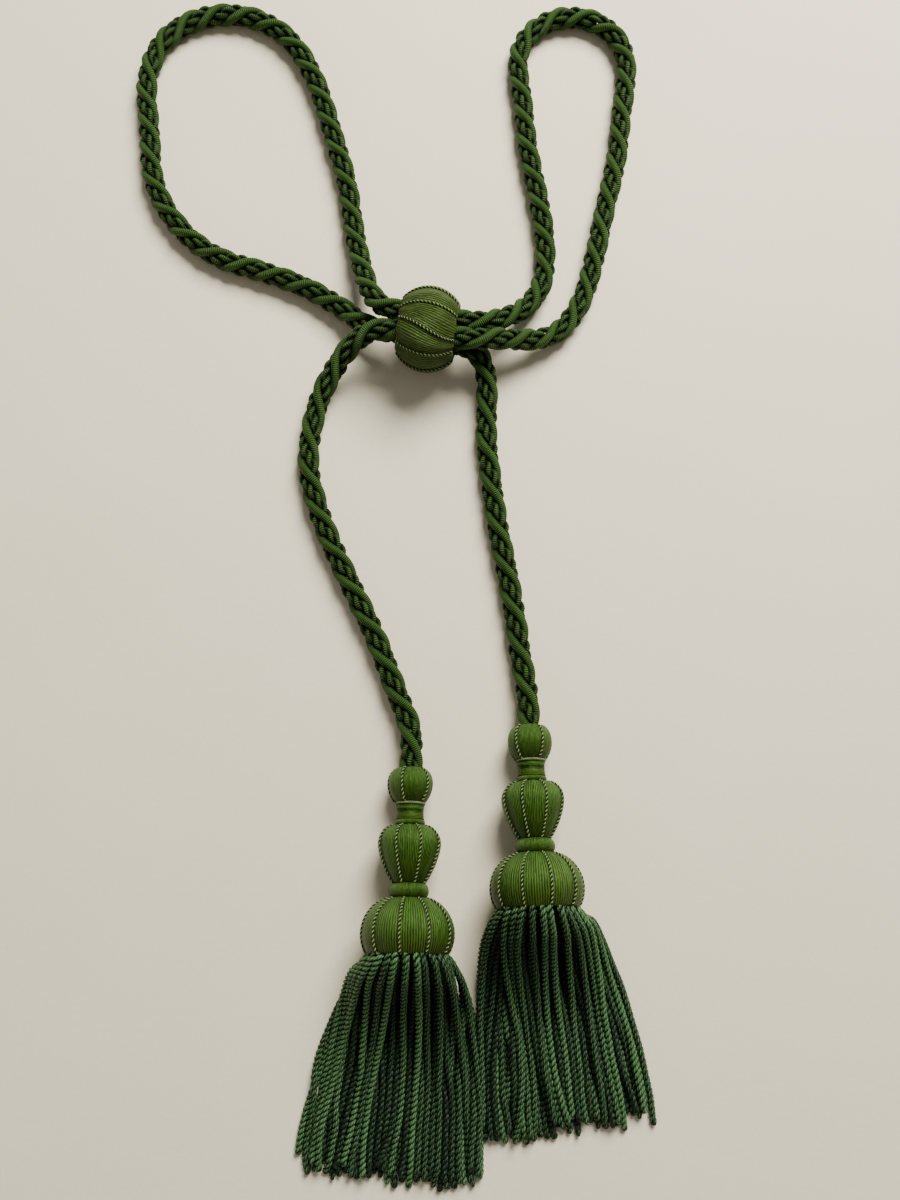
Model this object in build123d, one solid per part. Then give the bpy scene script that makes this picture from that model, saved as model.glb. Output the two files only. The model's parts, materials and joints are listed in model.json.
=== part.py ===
from build123d import *
import math
import os

# Double-tassel curtain tie-back: one cord folded into two loops, gathered by a
# thread-covered slide, with a turned and covered tassel on each end.
# Millimetres, +Z up, lying on a floor at z = 0.  The layout is drawn with the
# slide's centre over (0, 0) and is moved to its bottom-centre origin at the end.

# ---- driving dimensions: cord ----
rope_d = 15.5            # body of the laid cord
cord_gap = 0.2           # air between the three passes inside the slide
end_run = 18.0           # straight length of cord leading into a tassel

# ---- driving dimensions: slide (a covered barrel that gathers the three passes) ----
slide_len = 39.0
slide_d = 58.0
slide_wall = 1.0         # wood left at the rim of the bore
slide_fit = 0.6          # bore radius over the bundle of three passes
slide_turn = -9.0        # heading of the bore, degrees from +X
slide_gores = 10
slide_gore_turn = -14.0  # first gore line from straight up, degrees
slide_travel = 4.0       # free travel each way
exit_bend = 7.5          # straight cord left between the slide at its limit and the first bend

# ---- driving dimensions: coverings ----
floss_t = 0.8            # silk floss laid over a turned mould
gimp_w = 1.6             # twisted gimp that lies between two gores
gimp_rise = 0.6          # how far the gimp stands proud of the floss

# ---- driving dimensions: tassel head, measured down the tassel's axis ----
mould_wall = 1.05        # wood left round the cord's bore at a mould's narrow end
ball_d = 29.0
ball_len = 22.0
ball_belly = 10.3        # widest place of the ball, from its top
ball_gores = 5
top_ring_len = 1.6
ring_rise = 2.1          # neck rings over the cord
neck_len = 9.4
neck_rise = 1.15         # wound thread over the cord at the waist
neck_flare = 0.55
base_ring_len = 3.8
bulb_d = 40.6
bulb_len = 36.2
bulb_belly = 12.6        # widest place of the bulb, from its top
bulb_gores = 8
bulb_foot = 2.6          # lower rim of the bulb over the cord
collar_len = 9.0
collar_rise = 5.2        # roll of the collar over the cord
collar_rim = 2.7
melon_d = 58.5
melon_len = 34.0
melon_belly = 21.5
melon_crown = 5.7        # upper rim of the melon over the cord
melon_rim_d = 51.0
melon_gores = 10
ball_clear = 0.8         # the ball hangs this far off the floor

# ---- driving dimensions: inside the melon ----
melon_web = 16.0         # solid wood above the recess
recess_d = 42.0
whipping_rise = 2.45
whipping_len = 9.0
cord_tail = 10.0         # cord end below the web
band_len = 22.0          # rolled heading of the bullion fringe
binding_t = 1.0
binding_len = 5.0

# ---- driving dimensions: skirt and the joints of the tassel ----
skirt_wall = 1.11        # skirt left outside its hollow at the upper edge
skirt_end_w = 105.0
skirt_end_h = 22.0
skirt_len = 140.0
skirt_start = 10.0       # from the skirt's pivot to its upper edge
skirt_sink = 0.2         # pressed flat this much where it lies on the floor
cup_clear = 0.25         # between the melon's gimps and the hollow of the skirt
pivot_up = 8.5           # bend of the cord above the ball
cup_edge = 2.5
joint_gap = 0.3          # clearance of the ball-shaped bend in the cord

# ---- where the tassels lie: top of the ball and headings from -Y, degrees, and how far the
# first gore line of each covered mould is turned from straight up ----
tassels = {
    "left": {"ball_top": (-10.4, -299.1), "heading": -0.5, "skirt_heading": -3.5,
             "ball": 21, "bulb": 22.5, "melon": 8},
    "right": {"ball_top": (67.3, -271.5), "heading": 1.5, "skirt_heading": 6.3,
              "ball": 41, "bulb": 23, "melon": 22},
}

# ---- derived sizes ----
rope_r = rope_d / 2
lie = rope_r                                     # centre height of cord on the floor
lane_r = (rope_d + cord_gap) / math.sqrt(3)      # three passes packed in a triangle
bore_r = lane_r + rope_r + slide_fit
slide_r = slide_d / 2
slide_rim_r = bore_r + slide_wall + floss_t
ball_r = ball_d / 2
narrow_r = rope_r + mould_wall + floss_t
bulb_r = bulb_d / 2
melon_r = melon_d / 2
cup_r = melon_r + gimp_rise + cup_clear
skirt_top_w = 2 * (math.sqrt(cup_r**2 - skirt_start**2) + skirt_wall)

# stations down the tassel's axis, from the top of the ball
s_ring = ball_len
s_neck = s_ring + top_ring_len
s_base = s_neck + neck_len
s_bulb = s_base + base_ring_len
s_collar = s_bulb + bulb_len
s_melon = s_collar + collar_len
s_rim = s_melon + melon_len
s_web = s_melon + melon_web
s_sway = s_rim - skirt_start                     # pivot of the skirt, inside the heading

# the head rests on a gimp of the melon and slopes down to the ball
ball_z = ball_r + ball_clear
belly_z = melon_r + gimp_rise
slope = math.asin((belly_z - ball_z) / (s_melon + melon_belly - ball_belly))


# ---- the cord's route ----
lane_angle = {"back": 10, "top": 130, "low": 250}
turn = math.radians(slide_turn)
along = Vector(math.cos(turn), math.sin(turn), 0)
aside = Vector(-math.sin(turn), math.cos(turn), 0)
lane_reach = slide_len / 2 + slide_travel + exit_bend   # the passes stay straight to here


def lane(name, reach):
    """A point on one of the three straight passes through the slide."""
    angle = math.radians(lane_angle[name])
    off = aside * (lane_r * math.cos(angle)) + Vector(0, 0, lane_r * math.sin(angle))
    return Vector(0, 0, slide_r) + along * reach + off


def tassel_axis(side):
    """Unit vector down a tassel, from the ball to the skirt."""
    heading = math.radians(tassels[side]["heading"])
    flat = math.cos(slope)
    return Vector(math.sin(heading) * flat, -math.cos(heading) * flat, math.sin(slope))


def on_axis(side, station):
    """A point on a tassel's axis."""
    x, y = tassels[side]["ball_top"]
    z = ball_z - ball_belly * math.sin(slope)
    return Vector(x, y, z) + tassel_axis(side) * station


left_tail = [
    (-21.5, -246, lie), (-35.5, -209, lie), (-55, -170, lie), (-72, -134, lie),
    (-84, -95, lie), (-82, -64, lie), (-75, -38, 9.5), (-62, -18, 18), (-48, -6, 30),
]
right_loop_out = [
    (48.5, -6.5, 30), (68, -3, 17), (91, 4, 9), (109, 28, lie), (119, 63, lie),
    (127, 101, lie), (137.5, 143, lie), (141.5, 180, lie), (146.5, 210, lie),
    (144.5, 232, lie), (131.5, 250, lie), (112, 258, lie), (91, 256, lie),
    (72.5, 243, lie), (64, 222, lie), (68.5, 191, lie), (71, 155, lie),
    (78, 117, lie), (84, 80, lie), (83, 46, lie), (70, 23, 13), (50, 9.5, 24),
]
left_loop = [
    (-40, 27, 25), (-47, 51, 14), (-54, 83, lie), (-59, 122, lie), (-71, 162, lie),
    (-82, 201, lie), (-101, 238, lie), (-131, 259, lie), (-169, 260, lie),
    (-200, 240, lie), (-211, 205, lie), (-205, 163, lie), (-202, 122, lie),
    (-181, 86, lie), (-152, 63, lie), (-120, 54, lie), (-88, 42, lie),
    (-63, 26, 9), (-48, 12, 14),
]
right_tail = [
    (40, -20, 14), (41.5, -42, 8.5), (40, -70, lie), (43.5, -102, lie),
    (48, -136, lie), (54.5, -168, lie), (59.5, -198, lie), (62.5, -225, lie),
]
route = [on_axis("left", -pivot_up), on_axis("left", -pivot_up - end_run)]
route += [Vector(*p) for p in left_tail]
route += [lane("top", -lane_reach), lane("top", lane_reach)]
route += [Vector(*p) for p in right_loop_out]
route += [lane("back", lane_reach), lane("back", -lane_reach)]
route += [Vector(*p) for p in left_loop]
route += [lane("low", -lane_reach), lane("low", lane_reach)]
route += [Vector(*p) for p in right_tail]
route += [on_axis("right", -pivot_up - end_run), on_axis("right", -pivot_up)]


def bend_radii(points):
    """Each bend is as large as its two runs allow."""
    radii = []
    for before, here, after in zip(points, points[1:], points[2:]):
        run_in = here - before
        run_out = after - here
        half_turn = math.radians(run_in.get_angle(run_out)) / 2
        shorter = min(run_in.length, run_out.length)
        radii.append(0.45 * shorter / math.tan(half_turn))
    return radii


def make_cord():
    """The whole cord as a plain tube, rounded where it bends above each ball."""
    radii = bend_radii(route)
    path = FilletPolyline(*route, radius=radii)
    start = path @ 0
    section = Plane(origin=start, z_dir=path % 0) * Circle(rope_r)
    tube = sweep(section, path=path)
    print("cord bends, mm:", [round(r, 1) for r in radii])
    print("cord length, mm:", round(path.length, 1))
    print("cord volume over section x length:",
          round(tube.volume / (math.pi * rope_r**2 * path.length), 4))
    ends = [Pos(*point) * Sphere(rope_r) for point in (route[0], route[-1])]
    return tube + ends[0] + ends[1]


# ---- turned shapes: an outline is a chain of stretches given as (radius, station), three
# points for an arc and more for a spline ----
def swell(outline, rise):
    """The same outline, every radius larger by rise."""
    return [[(r + rise, s) for r, s in stretch] for stretch in outline]


def outline_edge(stretch):
    """One stretch of an outline as an edge in the XZ plane."""
    points = [(r, 0, s) for r, s in stretch]
    return ThreePointArc(*points) if len(points) == 3 else Spline(*points)


def turned(outline, bore=0.0):
    """Solid turned about the axis between an outline and a round bore."""
    edges = [outline_edge(stretch) for stretch in outline]
    (r_first, s_first), (r_last, s_last) = outline[0][0], outline[-1][-1]
    edges.append(Polyline((r_last, 0, s_last), (bore, 0, s_last),
                          (bore, 0, s_first), (r_first, 0, s_first)))
    return revolve(make_face(edges), Axis.Z)


def covering(outline):
    """Floss laid over a mould: the skin between the mould and the outline."""
    return turned(outline) - turned(swell(outline, -floss_t))


def gimps(outline, gores, phase):
    """Straight gimps lying on the floss between the gores."""
    skin = turned(swell(outline, gimp_rise)) - turned(outline)
    stations = [s for stretch in outline for r, s in stretch]
    middle = (min(stations) + max(stations)) / 2
    reach = max(r for stretch in outline for r, s in stretch) + 2 * gimp_rise
    height = max(stations) - min(stations)
    slab = Pos(reach / 2, 0, middle) * Box(reach, gimp_w, height)
    ribs = [skin & (Rot(0, 0, phase + 360 * k / gores) * slab) for k in range(gores)]
    return Compound(children=[rib.solids()[0] for rib in ribs])


slide_outline = [[(slide_rim_r, -slide_len / 2), (slide_r, 0), (slide_rim_r, slide_len / 2)]]

# the ball is fuller above its belly than below it
ball_swell = ball_r - narrow_r
ball_outline = [[(narrow_r, 0), (narrow_r + 0.86 * ball_swell, 0.5 * ball_belly), (ball_r, ball_belly),
                 (narrow_r + 0.74 * ball_swell, 0.5 * (ball_belly + ball_len)), (narrow_r, ball_len)]]

# a bulb is round above its belly and runs nearly straight down to its foot
bulb_foot_r = rope_r + bulb_foot
bulb_outline = [
    [(narrow_r + 0.6, s_bulb),
     (bulb_r - 0.17 * (bulb_r - narrow_r), s_bulb + 0.4 * bulb_belly),
     (bulb_r, s_bulb + bulb_belly)],
    [(bulb_r, s_bulb + bulb_belly),
     (0.56 * bulb_r + 0.44 * bulb_foot_r, s_bulb + bulb_belly + 0.6 * (bulb_len - bulb_belly)),
     (bulb_foot_r, s_collar)],
]
collar_outline = [[(rope_r + collar_rim, s_collar),
                   (rope_r + collar_rise, s_collar + collar_len / 2),
                   (rope_r + collar_rim + 0.6, s_melon)]]
melon_outline = [[(rope_r + melon_crown, s_melon),
                  (melon_r, s_melon + melon_belly),
                  (melon_rim_d / 2, s_rim)]]


def disc(radius, station, length):
    """A plain round bar on the tassel's axis."""
    return Pos(0, 0, station + length / 2) * Cylinder(radius, length)


def band(inner_r, outer_r, station, length):
    """A plain ring on the tassel's axis."""
    return disc(outer_r, station, length) - disc(inner_r, station, length)


def rolled_ring(outer_r, station, length):
    """A ring wound on the cord, its outer corners rounded."""
    ring = band(rope_r, outer_r, station, length)
    corners = ring.edges().filter_by(GeomType.CIRCLE).group_by(SortBy.RADIUS)[-1]
    return fillet(corners, 0.4 * length)


def head_pieces(turns):
    """Every piece that moves with a tassel's head, in the tassel's own frame."""
    cord_start = cup_edge - pivot_up
    hanging = disc(rope_r, cord_start, s_web + cord_tail - cord_start)
    recess = disc(recess_d / 2, s_web, s_rim - s_web)
    bore = rope_r
    whipping_r = rope_r + whipping_rise
    roll_r = recess_d / 2 - binding_t
    waist = [[(rope_r + neck_rise + neck_flare, s_neck),
              (rope_r + neck_rise, (s_neck + s_base) / 2),
              (rope_r + neck_rise + neck_flare, s_base)]]
    return {
        "hanging_cord": hanging - Pos(0, 0, -pivot_up) * Sphere(rope_r + joint_gap),
        "cord_whipping": band(rope_r, whipping_r, s_web, whipping_len),
        "ball_mould": turned(swell(ball_outline, -floss_t), bore),
        "ball_cover": covering(ball_outline),
        "ball_gimps": gimps(ball_outline, ball_gores, turns["ball"]),
        "neck_top_ring": rolled_ring(rope_r + ring_rise, s_ring, top_ring_len),
        "neck_wrap": turned(waist, bore),
        "neck_base_ring": rolled_ring(rope_r + ring_rise, s_base, base_ring_len),
        "bulb_mould": turned(swell(bulb_outline, -floss_t), bore),
        "bulb_cover": covering(bulb_outline),
        "bulb_gimps": gimps(bulb_outline, bulb_gores, turns["bulb"]),
        "collar_core": turned(swell(collar_outline, -floss_t), bore),
        "collar_cover": covering(collar_outline),
        "melon_mould": turned(swell(melon_outline, -floss_t), bore) - recess,
        "melon_cover": covering(melon_outline),
        "melon_gimps": gimps(melon_outline, melon_gores, turns["melon"]),
        "heading_band": band(whipping_r, roll_r, s_web, band_len),
        "heading_binding": band(roll_r, recess_d / 2, s_web + binding_t, binding_len),
    }


def make_skirt(side):
    """The hanging fringe as one soft solid, flat underneath where it lies."""
    pivot = on_axis(side, s_sway)
    heading = math.radians(tassels[side]["skirt_heading"])
    outward = Vector(math.sin(heading), -math.cos(heading), 0)
    sideways = Vector(math.cos(heading), math.sin(heading), 0)
    # width and height at fractions of the way from the rim to the loose ends
    spread = skirt_end_w - skirt_top_w
    drop = skirt_top_w - skirt_end_h
    stations = [(0, 0, 0), (0.23, 0.39, 0.25), (0.5, 0.65, 0.62), (0.8, 0.86, 0.88), (1, 1, 1)]
    slices = []
    for share, widening, lowering in stations:
        width = skirt_top_w + spread * widening
        height = skirt_top_w - drop * lowering
        away = skirt_start + skirt_len * share
        middle = Vector(pivot.X, pivot.Y, height / 2 - skirt_sink) + outward * away
        corner = 0.49 * height * (1 - 0.25 * share)
        plane = Plane(origin=middle, x_dir=sideways, z_dir=outward)
        slices.append(plane * RectangleRounded(width, height, corner))
    hollow = Pos(*pivot) * Sphere(cup_r)
    reach = 2 * skirt_len
    ground = Pos(pivot.X, pivot.Y, -reach / 2) * Box(reach, 2 * reach, reach)
    return loft(slices, ruled=True) - hollow - ground


# ---- build every piece where it lies ----
parts = {"cord": make_cord()}

slide_at = Plane(origin=(0, 0, slide_r), x_dir=(0, 0, 1), z_dir=along).location
slide_pieces = {
    "slide_mould": turned(swell(slide_outline, -floss_t), bore_r),
    "slide_cover": covering(slide_outline),
    "slide_gimps": gimps(slide_outline, slide_gores, slide_gore_turn),
}
for name, piece in slide_pieces.items():
    parts[name] = slide_at * piece

for side in tassels:
    axis = tassel_axis(side)
    up = Vector(0, 0, 1) - axis * axis.Z
    at = Plane(origin=on_axis(side, 0), x_dir=up, z_dir=axis).location
    for name, piece in head_pieces(tassels[side]).items():
        parts[f"{side}_{name}"] = at * piece
    parts[f"{side}_skirt"] = make_skirt(side)

# ---- origin: under the middle of the slide and the two tassels ----
boxes = [piece.bounding_box() for name, piece in parts.items() if name != "cord"]
low = [min(getattr(box.min, c) for box in boxes) for c in "XYZ"]
high = [max(getattr(box.max, c) for box in boxes) for c in "XYZ"]
home = Vector(-(low[0] + high[0]) / 2, -(low[1] + high[1]) / 2, -low[2])

os.makedirs("parts", exist_ok=True)
for name, piece in parts.items():
    export_step(Pos(*home) * piece, f"parts/{name}.step")

print("moved by, mm:", [round(v, 3) for v in home])
for side in tassels:
    print(side, "swing pivot, mm:", [round(v, 3) for v in on_axis(side, -pivot_up) + home])
    print(side, "sway pivot, mm:", [round(v, 3) for v in on_axis(side, s_sway) + home])
print("slide axis:", [round(v, 5) for v in along], "slope, degrees:", round(math.degrees(slope), 3))
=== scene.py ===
import json
import math

import bpy
import numpy as np
from mathutils import Matrix, Vector
from mathutils.bvhtree import BVHTree


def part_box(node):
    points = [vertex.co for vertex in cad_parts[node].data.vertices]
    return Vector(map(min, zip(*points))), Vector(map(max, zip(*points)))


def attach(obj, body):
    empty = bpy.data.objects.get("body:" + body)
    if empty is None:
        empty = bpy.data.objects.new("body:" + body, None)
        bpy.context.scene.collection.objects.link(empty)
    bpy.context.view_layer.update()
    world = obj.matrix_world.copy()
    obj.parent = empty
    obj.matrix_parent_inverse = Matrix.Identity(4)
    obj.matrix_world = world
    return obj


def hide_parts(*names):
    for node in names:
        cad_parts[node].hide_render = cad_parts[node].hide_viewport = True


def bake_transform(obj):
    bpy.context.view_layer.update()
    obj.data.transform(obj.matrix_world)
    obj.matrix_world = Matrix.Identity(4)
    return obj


# A curtain tie-back lying on a floor: one laid cord folded into two loops, a floss-covered
# slide that gathers its three passes, and a covered, turned tassel with a bullion skirt on
# each end.  Sizes are in millimetres and go through MM; every object is in metres.

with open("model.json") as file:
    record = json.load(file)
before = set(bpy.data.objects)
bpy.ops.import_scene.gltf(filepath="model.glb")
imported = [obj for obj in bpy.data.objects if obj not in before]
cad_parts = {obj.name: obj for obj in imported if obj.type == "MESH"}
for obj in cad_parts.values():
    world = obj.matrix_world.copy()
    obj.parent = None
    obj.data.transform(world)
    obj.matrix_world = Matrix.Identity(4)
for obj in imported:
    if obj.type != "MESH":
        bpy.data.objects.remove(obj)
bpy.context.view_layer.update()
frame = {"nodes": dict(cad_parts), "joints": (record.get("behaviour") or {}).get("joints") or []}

MM = 0.001
TURN = 2 * math.pi

# ---- the cord ----
ROPE_D = 15.5
ROPE_GAP = 1.3             # between two rings of a strand
LIE = ROPE_D / 2           # centre height of cord on the floor
TAIL_LAY = 56              # one turn of the four strands, in the tails
LOOP_LAY = 47              # the same in the loops, which are twisted tighter
GIMP_D, GIMP_REACH = 6.0, 4.85       # smooth wrapped strands and how far out they lie
PLY_D, PLIED_REACH = 3.6, 4.2       # each of two plies of the other strands
PLY_LAY = 12.5
LANE_R = (ROPE_D + 0.2) / math.sqrt(3)
LANE_ANGLE = {"back": 10, "top": 130, "low": 250}
LANE_REACH = 31
MOUTH = 19.5               # the slide's mouths, from its centre
LAY_CHANGE = 100           # length over which the lay tightens from tail to loop
SWING_ABOVE = 8.5          # the swing pivot stands this far above the ball
CORD_END = 108             # the cord's own end, down inside the melon

# ---- coverings ----
CREASE = 0.45              # how far the floss is drawn in along a gore line
PUFF = 0.2                 # how far it swells between two
FLOSS_WALL = 0.25
FLOSS_LIP = 0.15           # how far the floss laps over a mould's ends
CREASE_REACH = 1.6         # how far from a gore line the floss is darkened by painted shade
SLIDE_PUFF = 0.6
TRIM_PLY_D, TRIM_LAY = 0.75, 2.7     # two-ply gimp between the gores, one ply paler
TRIM_GAP = 0.3
TRIM_PROUD = 0.15          # how far its middle stands out from the mould's outline
TRIM_DIVE = 0.7            # how far its two ends are tucked in
NECK_CORD_PLY_D, NECK_CORD_REACH, NECK_CORD_TURNS = 0.92, 0.4, 22
NECK_ROUNDS = 11           # of thread round the waist

# ---- skirts ----
BULLION_PLY_D = 2.65
BULLION_D = 4.8
BULLION_LAY = 7.2
RIM = 116                  # the melon's lower rim, from the top of the ball
FAN_AT = [7, 13, 20, 32, 60, 100, 130, 150]          # from the rim towards the ends, and
FAN_HALF = [29, 33.5, 36, 38, 40.5, 43.5, 46, 47]      # half the skirt's width there
KNOTS = 40                 # points that a bullion is draped by
BULLION_RINGS = 132        # rings along a ply of it
BULLION_LENGTH = (134, 145)
SETTLE_STEPS, QUICK_STEPS = 320, 60
HEADING = {"left": -3.5, "right": 6.3}         # degrees that each skirt lies away from -Y
SEEDS = {"left": 11, "right": 12}
# each round of bullions: how many, radii from the heading out to the rim, share of the fan
ROUNDS = [(28, (20.8, 23.8, 26.8, 29.0), 1.0), (24, (15.5, 18.0, 20.6, 22.8), 0.8)]
STATIONS = (-4.0, 0.2, 3.2, 7.0)       # of those radii, from the rim
BORDER = 34.2              # the two skirts meet at this x, from the slide's centre

joints = {j["name"]: j for j in frame["joints"]}
SIDES = ("left", "right")


# ================= places =================
slide_low, slide_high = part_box("slide_mould")
slide_centre = (slide_low + slide_high) / 2
slide_axis = Vector(joints["slide_travel"]["axis"])
UP = Vector((0, 0, 1))


def standing(origin, axis):
    """A frame at origin with Z along axis and X as near to straight up as it can be."""
    x = (UP - axis * axis.dot(UP)).normalized()
    y = axis.cross(x)
    turned = Matrix((x, y, axis)).transposed().to_4x4()
    return Matrix.Translation(origin) @ turned


def tassel_place(side):
    """The tassel's own frame: origin at the top of its ball, Z down the tassel."""
    swing = Vector(joints[f"{side}_tassel_swing"]["pos_m"])
    sway = Vector(joints[f"{side}_skirt_sway"]["pos_m"])
    axis = (sway - swing).normalized()
    return standing(swing + axis * SWING_ABOVE * MM, axis)


places = {side: tassel_place(side) for side in SIDES}
slide_place = standing(slide_centre, slide_axis)


# ================= making meshes =================
def unit(vectors):
    return vectors / np.linalg.norm(vectors, axis=-1, keepdims=True)


def carried_frames(lines):
    """Normals carried along each line without twist, and the binormals beside them."""
    tangents = unit(np.gradient(lines, axis=1))
    normals = np.empty_like(lines)
    start = np.zeros_like(lines[:, 0])
    start[np.arange(len(lines)), np.abs(tangents[:, 0]).argmin(axis=1)] = 1
    for k in range(lines.shape[1]):
        t = tangents[:, k]
        start = unit(start - t * (start * t).sum(axis=1, keepdims=True))
        normals[:, k] = start
    return tangents, normals, np.cross(tangents, normals)


def wound(centre, normal, side, reach, angle):
    """A line that winds round a centre line."""
    return centre + reach * (np.cos(angle)[..., None] * normal + np.sin(angle)[..., None] * side)


def run_along(lines):
    """Distance along each line at each of its points."""
    steps = np.linalg.norm(np.diff(lines, axis=1), axis=2)
    return np.concatenate([np.zeros((len(lines), 1)), np.cumsum(steps, axis=1)], axis=1)


def evened(line, count):
    """The same line as count evenly spaced points."""
    run = run_along(line[None])[0]
    at = np.linspace(0, run[-1], count)
    return np.column_stack([np.interp(at, run, line[:, k]) for k in range(3)])


def spaced(line, gap):
    """The same line with its points evenly spaced, about gap apart."""
    length = np.linalg.norm(np.diff(line, axis=0), axis=1).sum()
    return evened(line, round(length / gap) + 1)


def write_attribute(mesh, name, values):
    kind = "FLOAT" if values.ndim == 1 else "FLOAT_VECTOR"
    layer = mesh.attributes.new(name, kind, "POINT")
    layer.data.foreach_set("value" if values.ndim == 1 else "vector",
                           values.astype(np.float32).ravel())


def strands(name, groups, ring=False):
    """Round strands in one mesh.  A group is (lines, radius, sides, tones, cores): lines is an
    array of equally long lines, laid round each of the cores.  The grain attribute is round the
    strand in x and y and along it in z, and height is 1 farthest out from the cores."""
    verts, faces, grains, tones, heights = [], [], [], [], []
    base = 0
    for lines, radius, sides, tone, cores in groups:
        count, length = lines.shape[:2]
        t, n, b = carried_frames(lines)
        if ring:
            t = unit(np.roll(lines, -1, 1) - np.roll(lines, 1, 1))
            b = unit(np.cross(t, n))
            n = np.cross(b, t)
        around = np.arange(sides) * TURN / sides
        out = (np.cos(around)[:, None] * n[:, :, None] + np.sin(around)[:, None] * b[:, :, None])
        points = lines[:, :, None] + radius * out
        points[..., 2] = np.maximum(points[..., 2], 0)
        verts.append(points.reshape(-1, 3))
        # how far out each point lies from its cores, the mask for painted shade in the crevices
        height = np.ones((count, length, sides))
        for core in cores:
            away = np.linalg.norm(points - core[:, :, None], axis=3)
            height *= away / away.max()
        heights.append(height.ravel())
        index = base + np.arange(count * length * sides).reshape(count, length, sides)
        here, ahead = (index, np.roll(index, -1, 1)) if ring else (index[:, :-1], index[:, 1:])
        quads = [here, np.roll(here, -1, 2), np.roll(ahead, -1, 2), ahead]
        faces += np.stack(quads, -1).reshape(-1, 4).tolist()
        if not ring:
            faces += index[:, 0, ::-1].tolist() + index[:, -1].tolist()
        grain = np.empty((count, length, sides, 3))
        grain[..., 0] = np.cos(around) * radius / MM
        grain[..., 1] = np.sin(around) * radius / MM
        grain[..., 2] = run_along(lines)[:, :, None] / MM
        grains.append(grain.reshape(-1, 3))
        tones.append(np.repeat(np.asarray(tone, float), length * sides))
        base += count * length * sides
    mesh = bpy.data.meshes.new(name)
    mesh.from_pydata(np.concatenate(verts).tolist(), [], faces)
    write_attribute(mesh, "grain", np.concatenate(grains))
    write_attribute(mesh, "tone", np.concatenate(tones))
    write_attribute(mesh, "height", np.concatenate(heights))
    mesh.shade_smooth()
    piece = bpy.data.objects.new(name, mesh)
    bpy.context.scene.collection.objects.link(piece)
    return piece


def finish_piece(piece, material, slot, *nodes):
    piece.data.materials.clear()
    piece.data.materials.append(material)
    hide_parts(*nodes)
    return piece


def paint_node(node, material):
    """Gives a CAD piece that stays its finish."""
    frame["nodes"][node].data.materials.clear()
    frame["nodes"][node].data.materials.append(material)


# ================= materials =================
class Wire:
    """A value in a material.  Arithmetic on it adds the Math nodes."""

    def __init__(self, finish, node, output=0):
        self.finish, self.node, self.socket = finish, node, node.outputs[output]

    def output(self, name):
        return Wire(self.finish, self.node, name)

    def math(self, operation, *values):
        inputs = dict(enumerate((self, *values)))
        return self.finish.add("ShaderNodeMath", {"operation": operation}, inputs)

    def __add__(self, other):
        return self.math("ADD", other)

    def __mul__(self, other):
        return self.math("MULTIPLY", other)

    def __sub__(self, other):
        return self.math("SUBTRACT", other)

    def __rsub__(self, other):
        return self * -1 + other

    __radd__ = __add__
    __rmul__ = __mul__


class Finish:
    """A procedural material round one Principled shader."""

    def __init__(self, name, **constants):
        self.material = bpy.data.materials.new(name)
        self.material.use_nodes = True
        self.tree = self.material.node_tree
        self.shader = self.tree.nodes["Principled BSDF"]
        for socket, value in constants.items():
            self.shader.inputs[socket.replace("_", " ")].default_value = value

    def add(self, kind, settings=(), inputs=(), output=0):
        node = self.tree.nodes.new(kind)
        for key, value in dict(settings).items():
            setattr(node, key, value)
        for key, value in dict(inputs).items():
            self.feed(node.inputs[key], value)
        return Wire(self, node, output)

    def feed(self, socket, value):
        if isinstance(value, Wire):
            self.tree.links.new(value.socket, socket)
        else:
            socket.default_value = value

    def colour(self, factor, low, high):
        inputs = {0: factor, 6: self.paint(low), 7: self.paint(high)}
        return self.add("ShaderNodeMix", {"data_type": "RGBA"}, inputs, 2)

    def paint(self, colour):
        return colour if isinstance(colour, Wire) else (*colour, 1)

    def attribute(self, name, output):
        return self.add("ShaderNodeAttribute", {"attribute_name": name}, (), output)

    def vector(self, x, y, z):
        return self.add("ShaderNodeCombineXYZ", (), {0: x, 1: y, 2: z})

    def noise(self, vector, scale, detail=2.0):
        inputs = {"Vector": vector, "Scale": scale, "Detail": detail}
        return self.add("ShaderNodeTexNoise", (), inputs)

    def grain(self):
        """Round the piece in x and y and along it in z, in millimetres."""
        split = self.add("ShaderNodeSeparateXYZ", (), {0: self.attribute("grain", "Vector")})
        return split, split.output("Y"), split.output("Z")

    def surface(self, colour, roughness, height, depth):
        """Colour and roughness, and a relief that is depth metres deep."""
        relief = self.add("ShaderNodeBump", (), {"Distance": depth, "Height": height})
        self.feed(self.shader.inputs["Base Color"], colour)
        self.feed(self.shader.inputs["Roughness"], roughness)
        self.feed(self.shader.inputs["Normal"], relief)
        return self.material


def smooth_step(wire, low, high):
    """0 below low, 1 above high, smooth between."""
    return wire.finish.add("ShaderNodeMapRange", {"interpolation_type": "SMOOTHSTEP"},
                           {"Value": wire, "From Min": low, "From Max": high})


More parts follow.
